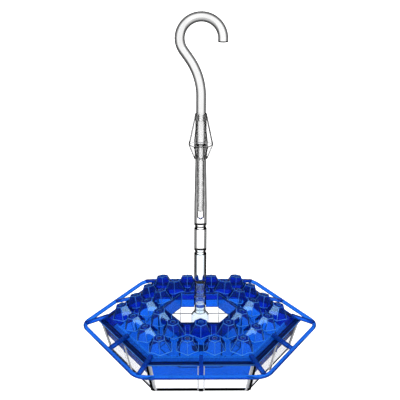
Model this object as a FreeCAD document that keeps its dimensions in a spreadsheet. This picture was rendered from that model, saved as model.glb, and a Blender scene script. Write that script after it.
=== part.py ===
# Hanging hexagonal nectar feeder with a perch ring, an ant moat and a hook on a stem.
# Millimetres. +Z is up and the origin is the centre of the tray's flat underside.
import FreeCAD, Part
import math
import os
import Sketcher

SHEET = "Dimensions"

# Driving dimensions: alias, value, meaning.
DIMENSIONS = [
    ("tray_height", 31.0, "tray wall height"),
    ("tray_base_apothem", 74.0, "half the tray's width across flats at the base"),
    ("tray_top_apothem", 81.7, "the same at the top edge"),
    ("tray_wall", 2.0, "tray wall thickness"),
    ("tray_floor", 2.4, "tray floor thickness"),
    ("rib_width", 4.6, "width of the tray's outside ribs and corner posts"),
    ("rib_proud", 1.2, "how far a rib stands out of the wall"),
    ("overrun", 1.0, "how far a cutting tool runs past the face it opens"),
    ("moat_apothem", 34.6, "outside of the moat wall"),
    ("moat_wall", 1.8, "moat wall thickness"),
    ("moat_top", 43.0, "top of the moat wall"),
    ("post_radius", 8.2, "centre post"),
    ("post_top", 41.4, "top of the centre post"),
    ("post_shoulder", 3.0, "rounding of the post's shoulder"),
    ("spigot_radius", 4.0, "spigot that holds the stem"),
    ("spigot_top", 72.0, "top of the spigot"),
    ("spigot_chamfer", 1.0, "chamfer on the end of the spigot"),
    ("thread_start", 50.0, "lowest thread ridge"),
    ("thread_pitch", 2.8, "distance between thread ridges"),
    ("thread_depth", 0.6, "height of a thread ridge"),
    ("thread_flank", 0.7, "half the height of a ridge's foot"),
    ("rim_apothem", 83.6, "cover's rim"),
    ("rim_thickness", 1.2, "edge of the cover's rim"),
    ("crease_apothem", 74.5, "top of the cover's sloping border"),
    ("crease_height", 36.1, "height of that crease"),
    ("opening_apothem", 30.5, "opening in the middle of the cover"),
    ("opening_height", 46.3, "height of the opening's edge"),
    ("cover_wall", 1.6, "cover shell thickness"),
    ("skirt_bottom", 17.5, "lower edge of the outer skirt"),
    ("skirt_gap", 0.4, "clearance between the skirt and the tray"),
    ("well_bottom", 30.5, "lower edge of the inner skirt"),
    ("cup_pitch", 24.2, "distance between neighbouring feeding cups"),
    ("cup_base", 19.4, "cup width across flats where it leaves the roof"),
    ("cup_tip", 10.0, "cup width across flats at its tip"),
    ("cup_height", 10.2, "cup height over the roof"),
    ("cup_wall", 1.4, "cup wall thickness"),
    ("cup_sink", 3.0, "how far a cup's foot reaches into the roof"),
    ("port_radius", 2.1, "feeding port"),
    ("border_inset", 0.5, "how far the border's inside is set in at the crease"),
    ("roof_inset", 2.0, "depth of the roof's inside below the opening's edge"),
    ("perch_corner", 112.0, "perch ring's sharp corner radius on its centre line"),
    ("perch_bend", 17.0, "bend radius of the perch ring's corners"),
    ("perch_height", 28.0, "height of the perch ring"),
    ("perch_radius", 2.0, "perch bar"),
    ("arm_width", 3.4, "width of a perch arm"),
    ("arm_thickness", 3.0, "thickness of a perch arm"),
    ("arm_setback", 0.75, "how far outside the crease an arm starts"),
    ("stem_radius", 5.8, "stem"),
    ("collar_radius", 5.5, "foot collar of the stem"),
    ("collar_top", 49.0, "top of the foot collar"),
    ("collar_step", 0.3, "height of the step from the collar to the stem"),
    ("foot_gap", 0.2, "gap between the post and the stem's foot"),
    ("spigot_room", 0.6, "room over the spigot in its socket"),
    ("stem_neck", 5.0, "bottom of the ring grooves between stem segments"),
    ("groove_width", 3.6, "width of a ring groove, measured up from the joint under it"),
    ("groove_flank", 0.8, "height of a groove's sloping side"),
    ("joint_low", 102.3, "joint between the lower and middle segments"),
    ("joint_high", 127.4, "joint between the middle and upper segments"),
    ("plug_radius", 3.0, "plug on a segment's top that joins it to the next one"),
    ("plug_length", 4.2, "length of that plug"),
    ("plug_gap", 0.05, "radial clearance of plugs and spigots"),
    ("end_gap", 0.5, "room past the end of a plug, and length of a thread relief's cone"),
    ("taper_start", 150.0, "start of the upper segment's taper"),
    ("waist_height", 194.3, "waist under the lower bell"),
    ("waist_radius", 4.95, "stem radius at the waist"),
    ("belt_height", 207.8, "belt between the two bells"),
    ("belt_apothem", 9.7, "half the bells' width across flats at the belt"),
    ("belt_gap", 0.3, "gap between the bells"),
    ("bell_top", 236.4, "top of the upper bell"),
    ("bell_wall", 1.2, "bell wall thickness"),
    ("bell_land", 0.2, "least wall between a bell's narrow end and the rod in it"),
    ("bell_foot", 2.5, "solid foot of the lower bell"),
    ("bell_cap", 6.0, "solid top of the upper bell"),
    ("pivot_radius", 2.0, "hook's pivot pin"),
    ("pivot_round", 1.9, "rounding of the pivot pin's end"),
    ("pivot_end", 144.0, "lower end of the pivot pin"),
    ("pivot_bore_end", 136.3, "point of the bore that takes the pivot pin"),
    ("hook_radius", 4.4, "hook rod"),
    ("bend_start", 252.0, "end of the hook's straight shank"),
    ("lean_angle", 35.0, "lean of the shank's straight between the bends, degrees"),
    ("crook_height", 302.7, "centre of the crook"),
    ("crook_radius", 18.65, "crook, on the rod's centre line"),
    ("hook_tip", 299.8, "height of the hook's tip"),
]

SIDES = range(6)
HEX_COS = math.cos(math.radians(30))
CUP_RINGS = (2, 3)
THREAD_RIDGES = 3
TOLERANCE = 1e-6

doc = FreeCAD.newDocument("nectar_feeder")
sheet = doc.addObject("Spreadsheet::Sheet", SHEET)
sheet.Label = SHEET
for row, (alias, value, meaning) in enumerate(DIMENSIONS, start=1):
    sheet.set(f"A{row}", meaning)
    sheet.set(f"B{row}", str(value))
    sheet.setAlias(f"B{row}", alias)
doc.recompute()

NODES = []


def size(alias):
    """Value of a driving dimension."""
    return float(getattr(sheet, alias))


def bind(obj, **expressions):
    """Bind properties to expressions in which $name is a driving dimension."""
    for prop, text in expressions.items():
        obj.setExpression(prop.replace("__", "."), text.replace("$", SHEET + "."))


def node(obj, name):
    """Mark an object as a finished sub-part."""
    obj.Label = name
    NODES.append(obj)
    return obj


def about_z(angle):
    return FreeCAD.Rotation(FreeCAD.Vector(0, 0, 1), angle)


# ---------------------------------------------------------------- primitives and booleans

def prism(name, apothem, low, high):
    """Upright hexagonal prism between two heights, flats facing -Y and +Y."""
    part = doc.addObject("Part::Prism", name)
    part.Polygon = 6
    bind(part, Circumradius=f"({apothem}) / cos(30)", Height=f"({high}) - ({low})",
         Placement__Base__z=low)
    return part


def slab(name, low, high, z_low, z_high):
    """Trapezoid slab: half width `low` at the bottom and `high` at the top, across Y."""
    part = doc.addObject("Part::Wedge", name)
    reach = f"2 * max({low}; {high})"
    bind(part, Xmin=f"-({reach})", Xmax=reach, X2min=f"-({reach})", X2max=reach,
         Ymin="0", Ymax=f"({z_high}) - ({z_low})",
         Zmin=f"-({low})", Zmax=low, Z2min=f"-({high})", Z2max=high)
    return part


def frustum(name, low, high, z_low, z_high):
    """Hexagonal frustum with apothem `low` at height z_low and `high` at z_high."""
    upright = FreeCAD.Rotation(FreeCAD.Vector(1, 0, 0), 90)
    slabs = []
    for turn in range(3):
        part = slab(f"{name}_slab{turn}", low, high, z_low, z_high)
        part.Placement.Rotation = about_z(60 * turn).multiply(upright)
        bind(part, Placement__Base__z=z_low)
        slabs.append(part)
    common = doc.addObject("Part::MultiCommon", name)
    common.Shapes = slabs
    return common


def fuse(name, shapes):
    part = doc.addObject("Part::MultiFuse", name)
    part.Shapes = shapes
    part.Refine = True
    return part


def cut(name, base, tool):
    part = doc.addObject("Part::Cut", name)
    part.Base = base
    part.Tool = tool
    part.Refine = True
    return part


def copies(name, part, placements):
    """Link array of one part at a list of placements."""
    array = doc.addObject("App::Link", name)
    array.LinkedObject = part
    array.ShowElement = False
    array.ElementCount = len(placements)
    array.PlacementList = placements
    return array


# ---------------------------------------------------------------- sketches

def origin_plane(body, role):
    return next(item for item in body.Origin.OriginFeatures if item.Role == role)


def new_sketch(body, name, role):
    sketch = body.newObject("Sketcher::SketchObject", name)
    sketch.AttachmentSupport = [(origin_plane(body, role), "")]
    sketch.MapMode = "FlatFace"
    return sketch


def fix_point(sketch, geo, end, across, up):
    """Hold one point of a sketch at (across, up), each an expression or 0."""
    for axis, kind, text in ((-2, "DistanceX", across), (-1, "DistanceY", up)):
        if text == "0":
            sketch.addConstraint(Sketcher.Constraint("PointOnObject", geo, end, axis))
            continue
        expression = text.replace("$", SHEET + ".")
        value = evaluate(text)
        index = sketch.addConstraint(Sketcher.Constraint(kind, -1, 1, geo, end, value))
        sketch.setExpression(f"Constraints[{index}]", expression)


def evaluate(text):
    """Number that an expression of driving dimensions stands for."""
    value = sheet.evalExpression(text.replace("$", SHEET + "."))
    return float(getattr(value, "Value", value))


def outline(sketch, corners):
    """Closed polyline whose corners are (across, up) expressions."""
    points = [FreeCAD.Vector(evaluate(x), evaluate(y), 0) for x, y in corners]
    count = len(points)
    for index in range(count):
        sketch.addGeometry(Part.LineSegment(points[index], points[(index + 1) % count]))
    for index in range(count):
        sketch.addConstraint(Sketcher.Constraint("Coincident", index, 2, (index + 1) % count, 1))
    for index, (across, up) in enumerate(corners):
        fix_point(sketch, index, 1, across, up)


def turned(name, corners):
    """Body of revolution about Z from its half outline of (radius, height) expressions."""
    body = doc.addObject("PartDesign::Body", name)
    sketch = new_sketch(body, f"{name}_profile", "XZ_Plane")
    outline(sketch, corners)
    feature = body.newObject("PartDesign::Revolution", f"{name}_turned")
    feature.Profile = sketch
    feature.ReferenceAxis = (sketch, ["V_Axis"])
    feature.Angle = 360
    sketch.Visibility = False
    return body


def edge_name(feature, radius, height):
    """Name of the full circle of a given radius at a given height."""
    for index, edge in enumerate(feature.Shape.Edges, start=1):
        curve = edge.Curve
        if not isinstance(curve, Part.Circle):
            continue
        if abs(curve.Radius - radius) < TOLERANCE and abs(curve.Center.z - height) < TOLERANCE:
            return f"Edge{index}"
    raise ValueError(f"no circle of radius {radius} at height {height}")


def round_off(body, radius, height, rounding):
    """Fillet of a turned body's circular edge; all three are driving dimensions."""
    doc.recompute()
    turning = body.Tip
    fillet = body.newObject("PartDesign::Fillet", f"{body.Name}_round")
    fillet.Base = (turning, [edge_name(turning, size(radius), size(height))])
    bind(fillet, Radius=f"${rounding}")


# ---------------------------------------------------------------- tray

def tray_apothem(height):
    """Expression for the outside of the tray wall at a height."""
    slope = "($tray_top_apothem - $tray_base_apothem) / $tray_height"
    return f"($tray_base_apothem + {slope} * ({height}))"


def wall_bar(name, angle, inner_low, inner_high, outer_low, outer_high):
    """Upright bar in the tray wall, at one angle, between two distances from the axis."""
    bar = doc.addObject("Part::Wedge", name)
    half = "$rib_width / 2"
    bind(bar, Xmin=f"-({half})", Xmax=half, X2min=f"-({half})", X2max=half,
         Ymin="0", Ymax="$tray_height",
         Zmin=inner_low, Zmax=outer_low, Z2min=inner_high, Z2max=outer_high)
    upright = FreeCAD.Rotation(FreeCAD.Vector(1, 0, 0), 90)
    bar.Placement.Rotation = about_z(angle + 90).multiply(upright)
    return bar


def make_tray():
    """Clear hexagonal bowl with a rib on each side and a post in each corner."""
    outside = frustum("bowl_outside", "$tray_base_apothem", "$tray_top_apothem", "0", "$tray_height")
    inside = frustum("bowl_inside", tray_apothem("$tray_floor") + " - $tray_wall",
                     tray_apothem("$tray_height + $overrun") + " - $tray_wall",
                     "$tray_floor", "$tray_height + $overrun")
    bars = []
    for side in SIDES:
        bars.append(wall_bar(f"side_rib{side}", 30 + 60 * side,
                             "$tray_base_apothem - $tray_wall / 2",
                             "$tray_top_apothem - $tray_wall / 2",
                             "$tray_base_apothem + $rib_proud",
                             "$tray_top_apothem + $rib_proud"))
        bars.append(wall_bar(f"corner_post{side}", 60 * side,
                             "($tray_base_apothem - $tray_wall) / cos(30)",
                             "($tray_top_apothem - $tray_wall) / cos(30)",
                             "$tray_base_apothem / cos(30)",
                             "$tray_top_apothem / cos(30)"))
    blank = fuse("bowl_blank", [outside] + bars)
    return node(cut("bowl", blank, inside), "tray_bowl")


def make_moat_wall():
    """Hexagonal wall that stands on the tray floor and keeps nectar out of the moat."""
    outside = prism("moat_outside", "$moat_apothem", "$tray_floor", "$moat_top")
    inside = prism("moat_inside", "$moat_apothem - $moat_wall", "$tray_floor", "$moat_top")
    return node(cut("moat", outside, inside), "moat_wall")


def make_centre_post():
    """Post in the middle of the moat with a threaded spigot for the stem."""
    corners = [("0", "$tray_floor"), ("$post_radius", "$tray_floor"),
               ("$post_radius", "$post_top"), ("$spigot_radius", "$post_top")]
    for ridge in range(THREAD_RIDGES):
        middle = f"($thread_start + {ridge} * $thread_pitch + $thread_flank)"
        corners += [("$spigot_radius", f"{middle} - $thread_flank"),
                    ("$spigot_radius + $thread_depth", middle),
                    ("$spigot_radius", f"{middle} + $thread_flank")]
    corners += [("$spigot_radius", "$spigot_top - $spigot_chamfer"),
                ("$spigot_radius - $spigot_chamfer", "$spigot_top"), ("0", "$spigot_top")]
    body = turned("centre_post_body", corners)
    round_off(body, "post_radius", "post_top", "post_shoulder")
    return node(body, "centre_post")


# ---------------------------------------------------------------- cover

def roof_height(apothem):
    """Height of the cover's roof at a distance from the axis, measured across flats."""
    rise = size("opening_height") - size("crease_height")
    run = size("crease_apothem") - size("opening_apothem")
    return size("crease_height") + rise / run * (size("crease_apothem") - apothem)


def cup_places():
    """Placement of each feeding cup: two rings of a triangular lattice, leaning with the roof.

    A cup is turned so that its flats face its neighbours.
    """
    pitch = size("cup_pitch")
    slope = roof_height(0) - roof_height(1)
    along = FreeCAD.Vector(-pitch / 2, pitch * HEX_COS, 0)
    places = []
    for ring in CUP_RINGS:
        height = roof_height(ring * pitch * HEX_COS)
        for side in SIDES:
            turn = FreeCAD.Placement(FreeCAD.Vector(), about_z(60 * side))
            for step in range(ring):
                # The first cup of a side stands on a corner of the roof, where it falls less.
                heading = 30 if step else 0
                fall = slope if step else slope * HEX_COS
                foot = FreeCAD.Vector(ring * pitch, 0, height) + along * step
                lean_axis = about_z(heading).multVec(FreeCAD.Vector(0, 1, 0))
                lean = FreeCAD.Rotation(lean_axis, math.degrees(math.atan(fall)))
                place = FreeCAD.Placement(foot, lean.multiply(about_z(30)))
                places.append(turn.multiply(place))
    return places


def cup_frustum(name, inset, low, high):
    """Cup shape between two heights over the roof, set in by a wall thickness."""
    half = "($cup_base / 2 - ($cup_base - $cup_tip) / 2 * ({0}) / $cup_height - {1})"
    return frustum(name, half.format(low, inset), half.format(high, inset), low, high)


def make_cover():
    """Blue cover: sloping border, low roof with thirty cups, an outer and an inner skirt."""
    inside = tray_apothem("$tray_height") + " - $tray_wall - $skirt_gap"
    inside_low = tray_apothem("$skirt_bottom") + " - $tray_wall - $skirt_gap"
    rim_top = "$tray_height + $rim_thickness"
    skirt = frustum("skirt_outside", inside_low, inside, "$skirt_bottom", "$tray_height")
    rim = prism("rim", "$rim_apothem", "$tray_height", rim_top)
    border = frustum("border", "$rim_apothem", "$crease_apothem", rim_top, "$crease_height")
    roof = frustum("roof", "$crease_apothem", "$opening_apothem", "$crease_height", "$opening_height")
    places = cup_places()
    cup = cup_frustum("cup_outside", "0", "-$cup_sink", "$cup_height")
    plain = fuse("cover_plain", [skirt, rim, border, roof])
    shell = fuse("cover_blank", [plain, copies("cups", cup, places)])

    under_rim = "$tray_height + $rim_thickness / 2"
    under_crease = "$crease_height - $cover_wall"
    under_crease_apothem = "$crease_apothem - $border_inset"
    skirt_inside = frustum("skirt_inside", inside_low + " - $cover_wall", inside + " - $cover_wall",
                           "$skirt_bottom", under_rim)
    border_inside = frustum("border_inside", inside + " - $cover_wall", under_crease_apothem,
                            under_rim, under_crease)
    roof_inside = frustum("roof_inside", under_crease_apothem, "$opening_apothem + $cover_wall",
                          under_crease, "$opening_height - $roof_inset")
    cup_hollow = cup_frustum("cup_hollow", "$cup_wall", "-$cup_sink", "$cup_height - $cup_wall")
    port = doc.addObject("Part::Cylinder", "port")
    bind(port, Radius="$port_radius", Height="$cup_height + $overrun")
    hollow = fuse("cup_inside", [cup_hollow, port])
    plain_room = fuse("cover_room", [skirt_inside, border_inside, roof_inside])
    bowl = cut("cover_bowl", shell, plain_room)
    open_shell = cut("cover_shell", bowl, copies("hollows", hollow, places))

    well = prism("well_outside", "$opening_apothem + $cover_wall", "$well_bottom",
                 "$opening_height - $cover_wall / 2")
    well_room = prism("well_room", "$opening_apothem", "$well_bottom - $overrun",
                      "$opening_height + $cup_height")
    whole = fuse("cover_whole", [open_shell, well])
    return node(cut("cover_open", whole, well_room), "cover")


# ---------------------------------------------------------------- perch

def make_perch_ring():
    """Round bar bent into a hexagon with rounded corners."""
    body = doc.addObject("PartDesign::Body", "perch_ring_body")
    bind(body, Placement__Base__z="$perch_height")
    path = new_sketch(body, "perch_path", "XY_Plane")
    bend = size("perch_bend")
    centre = "($perch_corner - $perch_bend / cos(30))"
    lines = []
    arcs = []
    for side in SIDES:
        first = about_z(60 * side).multVec(FreeCAD.Vector(evaluate(centre), 0, 0))
        second = about_z(60).multVec(first)
        offset = about_z(60 * side + 30).multVec(FreeCAD.Vector(bend, 0, 0))
        lines.append(path.addGeometry(Part.LineSegment(first + offset, second + offset)))
        circle = Part.Circle(second, FreeCAD.Vector(0, 0, 1), bend)
        start = math.radians(60 * side + 30)
        arcs.append(path.addGeometry(Part.ArcOfCircle(circle, start, start + math.radians(60))))
    for side in SIDES:
        path.addConstraint(Sketcher.Constraint("Tangent", lines[side], 2, arcs[side], 1))
        path.addConstraint(Sketcher.Constraint("Tangent", arcs[side], 2, lines[(side + 1) % 6], 1))
        angle = 60 * (side + 1)
        up = "0" if angle % 180 == 0 else f"{centre} * sin({angle})"
        fix_point(path, arcs[side], 3, f"{centre} * cos({angle})", up)
    radius = path.addConstraint(Sketcher.Constraint("Radius", arcs[0], bend))
    path.setExpression(f"Constraints[{radius}]", f"{SHEET}.perch_bend")

    section = new_sketch(body, "perch_section", "YZ_Plane")
    flat = "$perch_corner * cos(30)"
    ring = section.addGeometry(Part.Circle(FreeCAD.Vector(evaluate(flat), 0, 0),
                                           FreeCAD.Vector(0, 0, 1), size("perch_radius")))
    fix_point(section, ring, 3, flat, "0")
    thickness = section.addConstraint(Sketcher.Constraint("Radius", ring, size("perch_radius")))
    section.setExpression(f"Constraints[{thickness}]", f"{SHEET}.perch_radius")
    doc.recompute()
    pipe = body.newObject("PartDesign::AdditivePipe", "perch_bar")
    pipe.Profile = section
    pipe.Spine = path
    return node(body, "perch_ring")


def make_perch_arms(ring):
    """Twelve straight arms from the ring onto the cover's sloping border."""
    rise = size("crease_height") - size("tray_height") - size("rim_thickness")
    run = size("rim_apothem") - size("crease_apothem")
    side_reach = size("perch_corner") * HEX_COS
    corner_reach = size("perch_corner") - size("perch_bend") * (1 / HEX_COS - 1)
    centred = FreeCAD.Placement(FreeCAD.Vector(0, -size("arm_width") / 2, 0), FreeCAD.Rotation())
    for index in range(12):
        on_side = index % 2 == 1
        # Along a corner the border is longer and its slope gentler.
        stretch = 1 if on_side else 1 / HEX_COS
        outer = side_reach if on_side else corner_reach
        inner = size("crease_apothem") * stretch + size("arm_setback")
        slope = math.atan(rise / (run * stretch))
        foot_height = size("crease_height") - size("arm_setback") * math.tan(slope)
        bar = doc.addObject("Part::Box", f"arm_bar{index}")
        bar.Length = (outer - inner) / math.cos(slope)
        bind(bar, Width="$arm_width", Height="$arm_thickness")
        droop = FreeCAD.Rotation(FreeCAD.Vector(0, 1, 0), math.degrees(slope))
        lean = FreeCAD.Placement(FreeCAD.Vector(inner, 0, foot_height), droop)
        turn = FreeCAD.Placement(FreeCAD.Vector(), about_z(30 * index))
        bar.Placement = turn.multiply(lean).multiply(centred)
        kind = "side" if on_side else "corner"
        node(cut(f"arm{index}", bar, ring), f"perch_arm_{kind}_{index // 2 + 1}")


# ---------------------------------------------------------------- stem

def make_stem_lower():
    """Lowest stem segment: foot collar, socket for the spigot, plug for the next segment."""
    foot = "$post_top + $foot_gap"
    bore = "$spigot_radius + $plug_gap"
    bore_end = "$spigot_top + $spigot_room"
    relief = "$spigot_radius + $thread_depth + 2 * $plug_gap"
    relief_low = "$thread_start - $thread_flank"
    relief_high = f"$thread_start + {THREAD_RIDGES - 1} * $thread_pitch + 3 * $thread_flank"
    plug_end = "$joint_low + $plug_length"
    return node(turned("stem_lower_body", [
        (bore, foot), ("$collar_radius", foot), ("$collar_radius", "$collar_top"),
        ("$stem_radius", "$collar_top + $collar_step"), ("$stem_radius", "$joint_low"),
        ("$plug_radius", "$joint_low"), ("$plug_radius", plug_end), ("0", plug_end),
        ("0", bore_end), (bore, bore_end), (bore, f"{relief_high} + $end_gap"),
        (relief, relief_high), (relief, relief_low), (bore, f"{relief_low} - $end_gap")]),
        "stem_lower")


def segment_foot(joint):
    """Half outline of a segment's lower end, from its socket's end round to the stem's surface."""
    socket = "$plug_radius + $plug_gap"
    socket_end = f"{joint} + $plug_length + $end_gap"
    return [("0", socket_end), (socket, socket_end), (socket, joint), ("$stem_neck", joint),
            ("$stem_neck", f"{joint} + $groove_width - $groove_flank"),
            ("$stem_radius", f"{joint} + $groove_width")]


def make_stem_middle():
    """Short middle segment with a socket below and a plug above."""
    plug_end = "$joint_high + $plug_length"
    return node(turned("stem_middle_body", segment_foot("$joint_low") + [
        ("$stem_radius", "$joint_high"), ("$plug_radius", "$joint_high"),
        ("$plug_radius", plug_end), ("0", plug_end)]), "stem_middle")


def make_stem_upper():
    """Upper segment: socket below, tapering tube above with the pointed bore for the pivot pin."""
    bore = "$pivot_radius + $plug_gap"
    top = "$belt_height - $belt_gap"
    return node(turned("stem_upper_body", segment_foot("$joint_high") + [
        ("$stem_radius", "$taper_start"), ("$waist_radius", "$waist_height"),
        ("$waist_radius", top), (bore, top), (bore, "$pivot_bore_end + $pivot_radius"),
        ("0", "$pivot_bore_end")]), "stem_upper")


def make_bell(name, opens_up, narrow, wide, low, high, solid, radius):
    """Hollow hexagonal bell on a rod, from `low` to `high`, open at one end.

    `narrow` and `wide` are its apothems at its solid and open ends, and `solid` is the length
    of its solid end, which only the rod goes through.
    """
    ends = (narrow, wide) if opens_up else (wide, narrow)
    outside = frustum(f"{name}_outside", *ends, low, high)
    narrow_room = f"({narrow}) - $bell_land / 2"
    wide_room = f"({wide}) - $bell_wall"
    if opens_up:
        room = frustum(f"{name}_room", narrow_room, wide_room, f"({low}) + {solid}", high)
    else:
        room = frustum(f"{name}_room", wide_room, narrow_room, low, f"({high}) - {solid}")
    bore = doc.addObject("Part::Cylinder", f"{name}_bore")
    bind(bore, Radius=radius, Height=f"({high}) - ({low})", Placement__Base__z=low)
    node(cut(f"{name}_shell", outside, fuse(f"{name}_hollow", [room, bore])), name)


def make_bells():
    """Two bells that meet at the belt: one on the stem, one on the hook."""
    make_bell("bell_lower", True, "$waist_radius + $bell_land", "$belt_apothem",
              "$waist_height", "$belt_height - $belt_gap", "$bell_foot", "$waist_radius")
    make_bell("bell_upper", False, "$hook_radius + $bell_land", "$belt_apothem",
              "$belt_height", "$bell_top", "$bell_cap", "$hook_radius")


# ---------------------------------------------------------------- hook

def make_hook():
    """Round rod: pivot pin, straight shank, two bends and an open crook."""
    body = turned("hook_body", [
        ("0", "$pivot_end"), ("$pivot_radius", "$pivot_end"), ("$pivot_radius", "$belt_height"),
        ("$hook_radius", "$belt_height"), ("$hook_radius", "$bell_top"), ("0", "$bell_top")])
    round_off(body, "pivot_radius", "pivot_end", "pivot_round")
    lean = math.radians(size("lean_angle"))
    crook = size("crook_radius")
    crook_height = size("crook_height")
    shank_end = size("bend_start")
    bend = ((crook_height - shank_end) * math.sin(lean) - crook) / (1 - math.cos(lean))
    bend_centre = FreeCAD.Vector(-bend, shank_end, 0)
    crook_centre = FreeCAD.Vector(0, crook_height, 0)
    up = FreeCAD.Vector(0, 0, 1)
    toward = FreeCAD.Vector(math.cos(lean), math.sin(lean), 0)
    bend_end = bend_centre + toward * bend
    crook_start = crook_centre - toward * crook

    path = new_sketch(body, "hook_path", "XZ_Plane")
    shank = path.addGeometry(Part.LineSegment(FreeCAD.Vector(0, size("bell_top"), 0),
                                              FreeCAD.Vector(0, shank_end, 0)))
    low = path.addGeometry(Part.ArcOfCircle(Part.Circle(bend_centre, up, bend), 0, lean))
    straight = path.addGeometry(Part.LineSegment(bend_end, crook_start))
    bow = Part.Circle(crook_centre, up, crook)
    high = path.addGeometry(Part.ArcOfCircle(bow, 0, math.pi + lean))
    tip = path.addGeometry(Part.LineSegment(FreeCAD.Vector(crook, crook_height, 0),
                                            FreeCAD.Vector(crook, size("hook_tip"), 0)))
    fix_point(path, shank, 1, "0", "$bell_top")
    fix_point(path, shank, 2, "0", "$bend_start")
    fix_point(path, high, 3, "0", "$crook_height")
    path.addConstraint(Sketcher.Constraint("Tangent", shank, 2, low, 1))
    path.addConstraint(Sketcher.Constraint("Tangent", low, 2, straight, 1))
    path.addConstraint(Sketcher.Constraint("Tangent", straight, 2, high, 2))
    path.addConstraint(Sketcher.Constraint("Tangent", high, 1, tip, 1))
    path.addConstraint(Sketcher.Constraint("Vertical", tip))
    radius = path.addConstraint(Sketcher.Constraint("Radius", high, crook))
    path.setExpression(f"Constraints[{radius}]", f"{SHEET}.crook_radius")
    height = path.addConstraint(Sketcher.Constraint("DistanceY", -1, 1, tip, 2, size("hook_tip")))
    path.setExpression(f"Constraints[{height}]", f"{SHEET}.hook_tip")

    section = new_sketch(body, "hook_section", "XY_Plane")
    section.AttachmentOffset.Base = FreeCAD.Vector(0, 0, size("bell_top"))
    section.setExpression("AttachmentOffset.Base.z", f"{SHEET}.bell_top")
    ring = section.addGeometry(Part.Circle(FreeCAD.Vector(), up, size("hook_radius")))
    section.addConstraint(Sketcher.Constraint("Coincident", ring, 3, -1, 1))
    thickness = section.addConstraint(Sketcher.Constraint("Radius", ring, size("hook_radius")))
    section.setExpression(f"Constraints[{thickness}]", f"{SHEET}.hook_radius")
    doc.recompute()
    pipe = body.newObject("PartDesign::AdditivePipe", "hook_rod")
    pipe.Profile = section
    pipe.Spine = path
    pipe.Refine = True
    return node(body, "hook")


# ---------------------------------------------------------------- build and write

def check():
    """Stop if any object failed or any sub-part has no valid single solid."""
    for obj in doc.Objects:
        if "Invalid" in obj.State or "Error" in obj.State:
            raise RuntimeError(f"{obj.Name}: {obj.State}")
    for obj in NODES:
        shape = obj.Shape
        if shape.isNull() or not shape.isValid() or len(shape.Solids) != 1:
            raise RuntimeError(f"{obj.Label}: bad shape")


def write():
    os.makedirs("parts", exist_ok=True)
    for obj in NODES:
        obj.Shape.exportStep(f"parts/{obj.Label}.step")
        box = obj.Shape.BoundBox
        print(f"{obj.Label:22s} {obj.Shape.Volume / 1000:9.3f} cm3"
              f"  x {box.XMin:8.2f} {box.XMax:8.2f}  y {box.YMin:8.2f} {box.YMax:8.2f}"
              f"  z {box.ZMin:8.2f} {box.ZMax:8.2f}")


make_tray()
make_moat_wall()
make_centre_post()
make_cover()
perch_ring = make_perch_ring()
make_perch_arms(perch_ring)
make_stem_lower()
make_stem_middle()
make_stem_upper()
make_bells()
make_hook()
doc.recompute()
check()
write()
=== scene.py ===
import math

import bmesh
import bpy
from mathutils import Matrix, Vector


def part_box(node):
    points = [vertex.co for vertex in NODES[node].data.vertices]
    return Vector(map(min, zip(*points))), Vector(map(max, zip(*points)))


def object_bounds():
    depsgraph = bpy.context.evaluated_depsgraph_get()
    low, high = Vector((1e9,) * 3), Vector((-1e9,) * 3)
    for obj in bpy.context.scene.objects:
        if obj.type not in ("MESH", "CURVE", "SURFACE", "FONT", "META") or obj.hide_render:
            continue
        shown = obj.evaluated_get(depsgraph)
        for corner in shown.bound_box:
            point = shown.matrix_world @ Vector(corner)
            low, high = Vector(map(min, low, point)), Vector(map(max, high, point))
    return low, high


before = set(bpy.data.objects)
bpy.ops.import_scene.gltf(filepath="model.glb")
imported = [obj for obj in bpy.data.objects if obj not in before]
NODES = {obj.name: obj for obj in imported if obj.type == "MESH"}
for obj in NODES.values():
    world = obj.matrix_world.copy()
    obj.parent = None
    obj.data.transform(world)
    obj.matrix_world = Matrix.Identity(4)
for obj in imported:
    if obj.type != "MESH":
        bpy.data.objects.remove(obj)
cad_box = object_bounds()

# Plastic in general. Noise scales are features per metre.
PLASTIC_IOR = 1.49
SHALLOW_IOR = 1.2
COAT_ROUGHNESS = 0.13
CLOUD_SCALE = 60
HAZE_SCALE = 180
HAZE_RANGE = 2.2
WAVE_SCALE = 45
WAVE_STRENGTH = 0.2
WATER_WHITE = (0.99, 0.99, 0.99)

# How far towards edge on each painted edge shade starts and is full, as Layer Weight's Facing.
ROD_ONSET = (0.14, 0.26)
HOOK_ONSET = (0.1, 0.23)
BELL_ONSET = (0.3, 0.5)
TRAY_ONSET = (0.85, 1.0)
POST_ONSET = (0.72, 1.0)
RIM_ONSET = (0.35, 0.7)
COVER_ONSET = (0.35, 0.9)
BLUE_EDGE_ONSET = (0.5, 1.0)
PERCH_ONSET = (0.2, 0.7)

# Where the painted shade and highlights change, in metres. The stem's fade is measured up from the
# cover's top, and the crease's inset in from the cover's side.
STEM_FADE_START = 0.018
STEM_FADE_END = 0.026
INSIDE_RADIUS = 0.0046
INSIDE_FADE = 0.0002
BELT_FADE = 0.002
BELL_SHADE_LINE = 0.0014
CREASE_INSET = 0.0091
CREASE_REACH = 0.005
CREASE_FADE = 0.0004

# How far a bell's painted shade line blurs, as a share of its half width, and where the crease's
# colours, its painted highlight and painted shade among them, stand across its reach, which is 0 on
# the inside and 1 on the outside.
BELL_SHADE_BLUR = 0.2
CREASE_STOPS = (0.46, 0.48, 0.52, 0.54)

# Half the angle between two corners of a hexagon.
HEX_HALF = math.radians(30)

# Moulded edges, in metres and degrees. A width of 0 leaves a node's mesh as the CAD has it.
EDGE_WIDTH = 0.00025
COVER_EDGE = 0.0003
TRAY_EDGE = 0.0008
WELD_REACH = 1e-6
EDGE_SEGMENTS = 2
EDGE_ANGLE = 25

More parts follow.
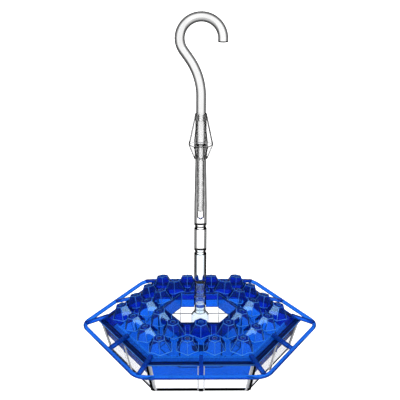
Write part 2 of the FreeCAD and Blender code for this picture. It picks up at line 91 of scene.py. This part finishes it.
# Floor, light and camera, in metres, degrees and watts. The lens and sensor are in millimetres.
FLOOR_REACH = 9.0
FLOOR_GAP = 0.0005
FLOOR_SHADE = 0.5
FLOOR_GLOW = 1.3
FLOOR_MIRRORED = 0.1
GRAIN_SCALE = 900
WORLD_PALE = 1.05
WORLD_DARK = 0.03
SOFTBOX_AZIMUTH = 45
SOFTBOX_ELEVATION = 24
SOFTBOX_DISTANCE = 1.2
SOFTBOX_SIZE = (0.42, 0.46)
SOFTBOX_POWER = 6
SOFTBOX_COLOUR = (0.36, 0.7, 1.0)
SOFTBOX_AIM = Vector((0, 0, 0.05))
CAMERA_SENSOR = 36
CAMERA_LENS = 85.5
CAMERA_CLIP = (0.01, 100)
CAMERA_PLACE = (-0.01269, -0.80971, 0.45832)
CAMERA_TURN = -0.86
CAMERA_DROP = 20.54
CAMERA_ROLL = 0.27


def grey(value):
    return (value, value, value)


# ---------------------------------------------------------------- node helpers

class Shader:
    """A material's node tree with short calls for the nodes used here."""

    def __init__(self, name):
        self.material = bpy.data.materials.new(name)
        self.material.use_nodes = True
        self.tree = self.material.node_tree
        self.tree.nodes.clear()

    def node(self, kind, **sockets):
        """New node. An underscore in a socket's name stands for a space."""
        made = self.tree.nodes.new(kind)
        for key, value in sockets.items():
            self.feed(made, key.replace("_", " "), value)
        return made

    def feed(self, node, socket, value):
        """Links or sets one input, given by its name or its number."""
        target = node.inputs[socket]
        if isinstance(value, bpy.types.NodeSocket):
            self.tree.links.new(value, target)
        else:
            target.default_value = value

    def noise(self, scale, detail, rough, stretch=(1, 1, 1)):
        """Noise in the part's own coordinates."""
        where = self.node("ShaderNodeTexCoord")
        spread = self.node("ShaderNodeMapping", Vector=where.outputs["Object"], Scale=stretch)
        texture = self.node("ShaderNodeTexNoise", Vector=spread.outputs["Vector"], Scale=scale,
                            Detail=detail, Roughness=rough)
        return texture.outputs["Fac"]

    def place(self):
        """The surface point's X, Y and Z in the part's own coordinates."""
        where = self.node("ShaderNodeTexCoord").outputs["Object"]
        return self.node("ShaderNodeSeparateXYZ", Vector=where).outputs

    def from_axis(self, place):
        """Distance from the Z axis."""
        square_x = self.math("POWER", place["X"], 2.0)
        square_y = self.math("POWER", place["Y"], 2.0)
        return self.math("SQRT", self.math("ADD", square_x, square_y))

    def spread(self, value, start, end):
        """0 up to `start`, rising to 1 at `end`."""
        made = self.node("ShaderNodeMapRange", Value=value, From_Min=start, From_Max=end)
        return made.outputs["Result"]

    def ramp(self, value, *stops):
        """Colour ramp with stops of position and colour."""
        made = self.node("ShaderNodeValToRGB", Fac=value)
        items = made.color_ramp.elements
        while len(items) > 1:
            items.remove(items[-1])
        items[0].position = stops[0][0]
        items[0].color = (*stops[0][1], 1)
        for position, colour in stops[1:]:
            items.new(position).color = (*colour, 1)
        return made.outputs["Color"]

    def math(self, kind, first, second=0.0):
        made = self.tree.nodes.new("ShaderNodeMath")
        made.operation = kind
        self.feed(made, 0, first)
        self.feed(made, 1, second)
        return made.outputs[0]

    def mix(self, kind, amount, first, second):
        """Mix of two colours, each a colour or an output."""
        made = self.tree.nodes.new("ShaderNodeMix")
        made.data_type = "RGBA"
        made.blend_type = kind
        self.feed(made, 0, amount)
        for number, colour in ((6, first), (7, second)):
            plain = not isinstance(colour, bpy.types.NodeSocket)
            self.feed(made, number, (*colour, 1) if plain else colour)
        return made.outputs[2]

    def bump(self, height, strength, distance):
        made = self.node("ShaderNodeBump", Height=height, Strength=strength, Distance=distance)
        return made.outputs["Normal"]


# ---------------------------------------------------------------- finishes

def plastic(name, centre, edge, onset, rough=0.012, flow=(1, 1, 1), clear=1.0, gloss=0.3, mirror=0.2,
            mottle=0.02, wave=0.0006, polish=0, bend=PLASTIC_IOR):
    """Moulded plastic: `centre` seen face on and `edge` seen edge on, with flow lines and waves. The
    darker `edge` is painted shade along the outlines.

    Each of the two is a colour, or a function that makes one in the shader. `onset` is how far
    towards edge on the second starts and is full. `flow` stretches the noise, `clear` is how much
    light passes, `gloss` and `mirror` how much of it the opaque and the clear part turn back,
    `mottle` how cloudy it is, `wave` how deep its waves are in metres, `polish` how strong its
    soft surface sheen is, and `bend` its index of refraction.
    """
    s = Shader(name)
    # Painted shade: the colour turns from `centre` to `edge` as the surface is seen more edge on.
    facing = s.node("ShaderNodeLayerWeight", Blend=0.5).outputs["Facing"]
    edge_shade_amount = s.ramp(facing, (onset[0], grey(0)), (onset[1], grey(1)))
    middle = centre(s) if callable(centre) else centre
    outline = edge(s) if callable(edge) else edge
    tint = s.mix("MIX", edge_shade_amount, middle, outline)
    cloud = s.ramp(s.noise(CLOUD_SCALE, 3, 0.6, flow), (0.3, grey(1 - mottle)), (0.7, grey(1)))
    haze = s.ramp(s.noise(HAZE_SCALE, 2, 0.5, flow), (0.35, grey(rough)),
                  (0.75, grey(rough * HAZE_RANGE)))
    waves = s.bump(s.noise(WAVE_SCALE, 2, 0.5, flow), WAVE_STRENGTH, wave)
    surface = s.node("ShaderNodeBsdfPrincipled", Base_Color=s.mix("MULTIPLY", 1.0, tint, cloud),
                     Roughness=haze, Normal=waves, IOR=bend, Transmission_Weight=clear,
                     Specular_IOR_Level=gloss, Specular_Tint=(*grey(mirror), 1), Coat_Weight=polish,
                     Coat_Roughness=COAT_ROUGHNESS)
    s.node("ShaderNodeOutputMaterial", Surface=surface.outputs[0])
    return s.material


def height_blend(below, above, start, end):
    """Colour function for plastic(): `below` up to the height `start`, `above` from `end` on."""
    def make(s):
        return s.mix("MIX", s.spread(s.place()["Z"], start, end), below, above)
    return make


def outside_only(edge, inside, radius):
    """Colour function for plastic(): `edge` further than `radius` from the Z axis, else `inside`."""
    def make(s):
        outside = s.spread(s.from_axis(s.place()), radius - INSIDE_FADE, radius)
        return s.mix("MIX", outside, inside, edge(s))
    return make


def corner_shade_lines(line, between, half_width):
    """Colour function for plastic(): painted shade, `line`, along the corners of a hexagonal bell.

    The corners are real, but too fine a bevel to bend light into the dark lines they show on the
    object, so the lines are painted shade.
    """
    def make(s):
        place = s.place()
        angle = s.math("ARCTAN2", place["Y"], place["X"])
        from_corner = s.math("PINGPONG", angle, HEX_HALF)
        aside = s.math("MULTIPLY", from_corner, s.from_axis(place))
        blur = half_width * BELL_SHADE_BLUR
        return s.mix("MIX", s.spread(aside, half_width - blur, half_width + blur), line, between)
    return make


def crease_light_and_shade(roof, line, shaded_border, apothem, height):
    """Colour function for plastic(): a hexagonal crease with a painted highlight, `line`, along it,
    and painted shade on the border outside it.

    It holds over one height, and everything below is coloured as the roof.
    """
    def make(s):
        place = s.place()
        flat = s.math("ABSOLUTE", place["Y"])
        along = s.math("MULTIPLY", s.math("ABSOLUTE", place["X"]), math.cos(HEX_HALF))
        slant = s.math("ADD", along, s.math("MULTIPLY", flat, math.sin(HEX_HALF)))
        reach = s.math("MAXIMUM", flat, slant)
        across = s.spread(reach, apothem - CREASE_REACH, apothem + CREASE_REACH)
        top = s.ramp(across, *zip(CREASE_STOPS, (roof, line, line, shaded_border)))
        return s.mix("MIX", s.spread(place["Z"], height, height + CREASE_FADE), roof, top)
    return make


def paper(name, shade, glow, mirrored):
    """Floor sheet: fine paper grain, lit a little from below as on a product table.

    In mirrored light it shows only `mirrored` bright, so that the plastic keeps its own colour.
    """
    s = Shader(name)
    grain = s.noise(GRAIN_SCALE, 2, 0.5)
    colour = s.ramp(grain, (0.3, grey(0.97 * shade)), (0.7, grey(shade)))
    sheet = s.node("ShaderNodeBsdfPrincipled", Base_Color=colour, Roughness=0.8,
                   Normal=s.bump(grain, 0.05, 0.0002), Emission_Color=(1, 1, 1, 1),
                   Emission_Strength=glow)
    dim = s.node("ShaderNodeEmission", Color=(*grey(mirrored), 1))
    bounces = s.node("ShaderNodeLightPath").outputs["Glossy Depth"]
    surface = s.node("ShaderNodeMixShader", Fac=bounces)
    s.tree.links.new(sheet.outputs[0], surface.inputs[1])
    s.tree.links.new(dim.outputs[0], surface.inputs[2])
    s.node("ShaderNodeOutputMaterial", Surface=surface.outputs[0])
    return s.material


# ---------------------------------------------------------------- clear pieces

# A clear rod's dark outlines are painted shade, a tint by the angle it is seen at. On the stem the
# painted shade is pale low down, where it stands before the blue, and on the bores and plugs inside
# it.
cover_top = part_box("cover")[1].z
stem_outside_shade = height_blend(grey(0.85), grey(0.02), cover_top + STEM_FADE_START,
                            cover_top + STEM_FADE_END)
stem_edge_shade = outside_only(stem_outside_shade, grey(0.9), INSIDE_RADIUS)
clear_stem = plastic("clear_stem_moulded", WATER_WHITE, stem_edge_shade, ROD_ONSET, flow=(1, 1, 0.15))
# The foot's light blue centre is painted light: the blue of the cover seen through it.
clear_foot = plastic("clear_foot_moulded", (0.86, 0.94, 1.0), stem_edge_shade, ROD_ONSET, flow=(1, 1, 0.15),
                     mirror=0.6, bend=SHALLOW_IOR)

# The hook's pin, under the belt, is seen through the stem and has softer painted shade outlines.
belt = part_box("bell_upper")[0].z
hook_edge_shade = height_blend(grey(0.4), grey(0.03), belt - BELT_FADE, belt)
clear_hook = plastic("clear_hook_moulded", grey(0.6), hook_edge_shade, HOOK_ONSET, flow=(1, 1, 0.3),
                     mottle=0.2)
# Painted shade lines along the bells' corners.
bell_corner_shade = corner_shade_lines(grey(0.005), WATER_WHITE, BELL_SHADE_LINE)
clear_bell = plastic("clear_bell_moulded", WATER_WHITE, bell_corner_shade, BELL_ONSET, flow=(1, 1, 0.3))

# The tray and post bend light less than the real plastic, so that they stay clear. Their grey edges
# are painted shade, and the post's light blue centre is painted light, the blue of the cover around
# it.
clear_tray = plastic("clear_tray_moulded", WATER_WHITE, grey(0.8), TRAY_ONSET, mirror=0.4,
                     mottle=0.01, wave=0.0001, bend=SHALLOW_IOR)
clear_post = plastic("clear_post_moulded", (0.8, 0.91, 1.0), grey(0.6), POST_ONSET, 0.03, clear=0.9,
                     mirror=0.6, bend=SHALLOW_IOR)
# The grey of the tray's and moat's rounded edges is painted shade along them.
tray_edge_shade = plastic("tray_edge_painted_shade", grey(0.5), grey(0.3), RIM_ONSET, 0.05, clear=0.3, gloss=0)

# ---------------------------------------------------------------- blue pieces

ROOF_BLUE = (0.0055, 0.118, 0.76)
# The darker blues seen edge on, on the cover, arms and perch, are painted shade.
SLANT_SHADE_BLUE = (0.003, 0.06, 0.5)
# The cover's crease gets a painted highlight, and the border outside it painted shade, where the
# walls behind are seen through.
cover_blue = crease_light_and_shade(ROOF_BLUE, (0.03, 0.27, 0.95), (0.0036, 0.075, 0.48),
                     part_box("cover")[1].y - CREASE_INSET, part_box("tray_bowl")[1].z)
blue_cover = plastic("blue_cover_moulded", cover_blue, SLANT_SHADE_BLUE, COVER_ONSET, 0.02, clear=0.88,
                     gloss=0.15, mirror=0.1, mottle=0.12, wave=0.0002, polish=1)
blue_arm = plastic("blue_arm_moulded", ROOF_BLUE, SLANT_SHADE_BLUE, COVER_ONSET, 0.02, clear=0.7,
                   gloss=0.15, mirror=0.1, mottle=0.12, wave=0.0002, polish=1)
# The lighter blue of the cover's rounded edges is a painted highlight along them.
blue_edge_highlight = plastic("blue_edge_painted_highlight", (0.08, 0.32, 0.98), (0.05, 0.25, 0.95), BLUE_EDGE_ONSET, 0.1,
                    clear=0.3, gloss=0.4)
blue_perch = plastic("blue_perch_moulded", (0.016, 0.17, 0.8), (0.005, 0.05, 0.4), PERCH_ONSET, 0.05,
                     clear=0.8, gloss=0.2, mirror=0.3, mottle=0.1)

# ---------------------------------------------------------------- finishing the nodes

BY_SLOT = {"clear_tray": clear_tray, "clear_stem": clear_stem, "clear_hook": clear_hook,
           "blue_cover": blue_cover, "blue_perch": blue_perch}
BY_NODE = {"bell_lower": clear_bell, "bell_upper": clear_bell, "centre_post": clear_post,
           "stem_lower": clear_foot}
BY_NODE.update((name, blue_arm) for name in NODES if name.startswith("perch_arm"))
EDGES = {"cover": (COVER_EDGE, blue_edge_highlight), "tray_bowl": (TRAY_EDGE, tray_edge_shade),
         "moat_wall": (COVER_EDGE, tray_edge_shade), "perch_ring": (0, None), "hook": (0, None)}


def finish_node(obj, width, edge=None):
    """Gives a CAD node its finish, and rounds its moulded edges with the material `edge`, which is a
    painted highlight on the cover's edges and painted shade on the tray's and moat's.
    """
    for slot in obj.material_slots:
        slot.material = BY_NODE.get(obj.name, BY_SLOT[slot.material.name.split(".")[0]])
    if not width:
        return
    weld = obj.modifiers.new("weld", "WELD")
    weld.merge_threshold = WELD_REACH
    bevel = obj.modifiers.new("moulded_edges", "BEVEL")
    bevel.width = width
    bevel.segments = EDGE_SEGMENTS
    bevel.limit_method = "ANGLE"
    bevel.angle_limit = math.radians(EDGE_ANGLE)
    if edge:
        obj.data.materials.append(edge)
        bevel.material = len(obj.material_slots) - 1
    smooth = obj.modifiers.new("flat_faces", "WEIGHTED_NORMAL")
    smooth.weight = 100


for name, obj in NODES.items():
    finish_node(obj, *EDGES.get(name, (EDGE_WIDTH, None)))

# ---------------------------------------------------------------- floor, light, camera


def make_floor():
    """Plain pale sheet just under the tray."""
    mesh = bpy.data.meshes.new("floor")
    work = bmesh.new()
    bmesh.ops.create_grid(work, x_segments=8, y_segments=8, size=FLOOR_REACH)
    work.to_mesh(mesh)
    work.free()
    mesh.materials.append(paper("floor_sheet", FLOOR_SHADE, FLOOR_GLOW, FLOOR_MIRRORED))
    floor = bpy.data.objects.new("floor", mesh)
    floor.location.z = cad_box[0].z - FLOOR_GAP
    bpy.context.scene.collection.objects.link(floor)


def make_softbox(name, azimuth):
    """Area light aimed at the feeder, which shows only as a highlight in its gloss."""
    data = bpy.data.lights.new(name, "AREA")
    data.shape = "RECTANGLE"
    data.size, data.size_y = SOFTBOX_SIZE
    data.energy = SOFTBOX_POWER
    data.color = SOFTBOX_COLOUR
    light = bpy.data.objects.new(name, data)
    a = math.radians(azimuth)
    e = math.radians(SOFTBOX_ELEVATION)
    out = Vector((math.sin(a) * math.cos(e), -math.cos(a) * math.cos(e), math.sin(e)))
    light.location = SOFTBOX_AIM + out * SOFTBOX_DISTANCE
    light.rotation_mode = "QUATERNION"
    light.rotation_quaternion = (-out).to_track_quat("-Z", "Y")
    light.visible_diffuse = False
    light.visible_transmission = False
    light.visible_camera = False
    bpy.context.scene.collection.objects.link(light)


def make_world():
    """Pale studio, seen straight or through the plastic, that is dark in mirrored light."""
    world = bpy.data.worlds.new("studio")
    bpy.context.scene.world = world
    world.use_nodes = True
    tree = world.node_tree
    tree.nodes.clear()
    pale = tree.nodes.new("ShaderNodeBackground")
    dark = tree.nodes.new("ShaderNodeBackground")
    path = tree.nodes.new("ShaderNodeLightPath")
    choice = tree.nodes.new("ShaderNodeMixShader")
    out = tree.nodes.new("ShaderNodeOutputWorld")
    pale.inputs["Color"].default_value = (*grey(WORLD_PALE), 1)
    dark.inputs["Color"].default_value = (*grey(WORLD_DARK), 1)
    tree.links.new(path.outputs["Glossy Depth"], choice.inputs[0])
    tree.links.new(pale.outputs[0], choice.inputs[1])
    tree.links.new(dark.outputs[0], choice.inputs[2])
    tree.links.new(choice.outputs[0], out.inputs["Surface"])


def make_camera():
    """The photograph's view: from the front, a little left, looking down."""
    data = bpy.data.cameras.new("camera")
    data.sensor_width = CAMERA_SENSOR
    data.lens = CAMERA_LENS
    data.clip_start, data.clip_end = CAMERA_CLIP
    camera = bpy.data.objects.new("camera", data)
    place = Matrix.Translation(CAMERA_PLACE)
    turn = Matrix.Rotation(math.radians(CAMERA_TURN), 4, "Z")
    tip = Matrix.Rotation(math.radians(90 - CAMERA_DROP), 4, "X")
    roll = Matrix.Rotation(math.radians(CAMERA_ROLL), 4, "Z")
    camera.matrix_world = place @ turn @ tip @ roll
    bpy.context.scene.collection.objects.link(camera)
    bpy.context.scene.camera = camera


make_floor()
make_world()
make_softbox("softbox_right", SOFTBOX_AZIMUTH)
make_softbox("softbox_left", -SOFTBOX_AZIMUTH)
make_camera()

scene = bpy.context.scene
scene.view_settings.view_transform = "Standard"
scene.cycles.max_bounces = 24
scene.cycles.transmission_bounces = 24
scene.cycles.glossy_bounces = 8
scene.cycles.transparent_max_bounces = 16
scene.cycles.use_denoising = True
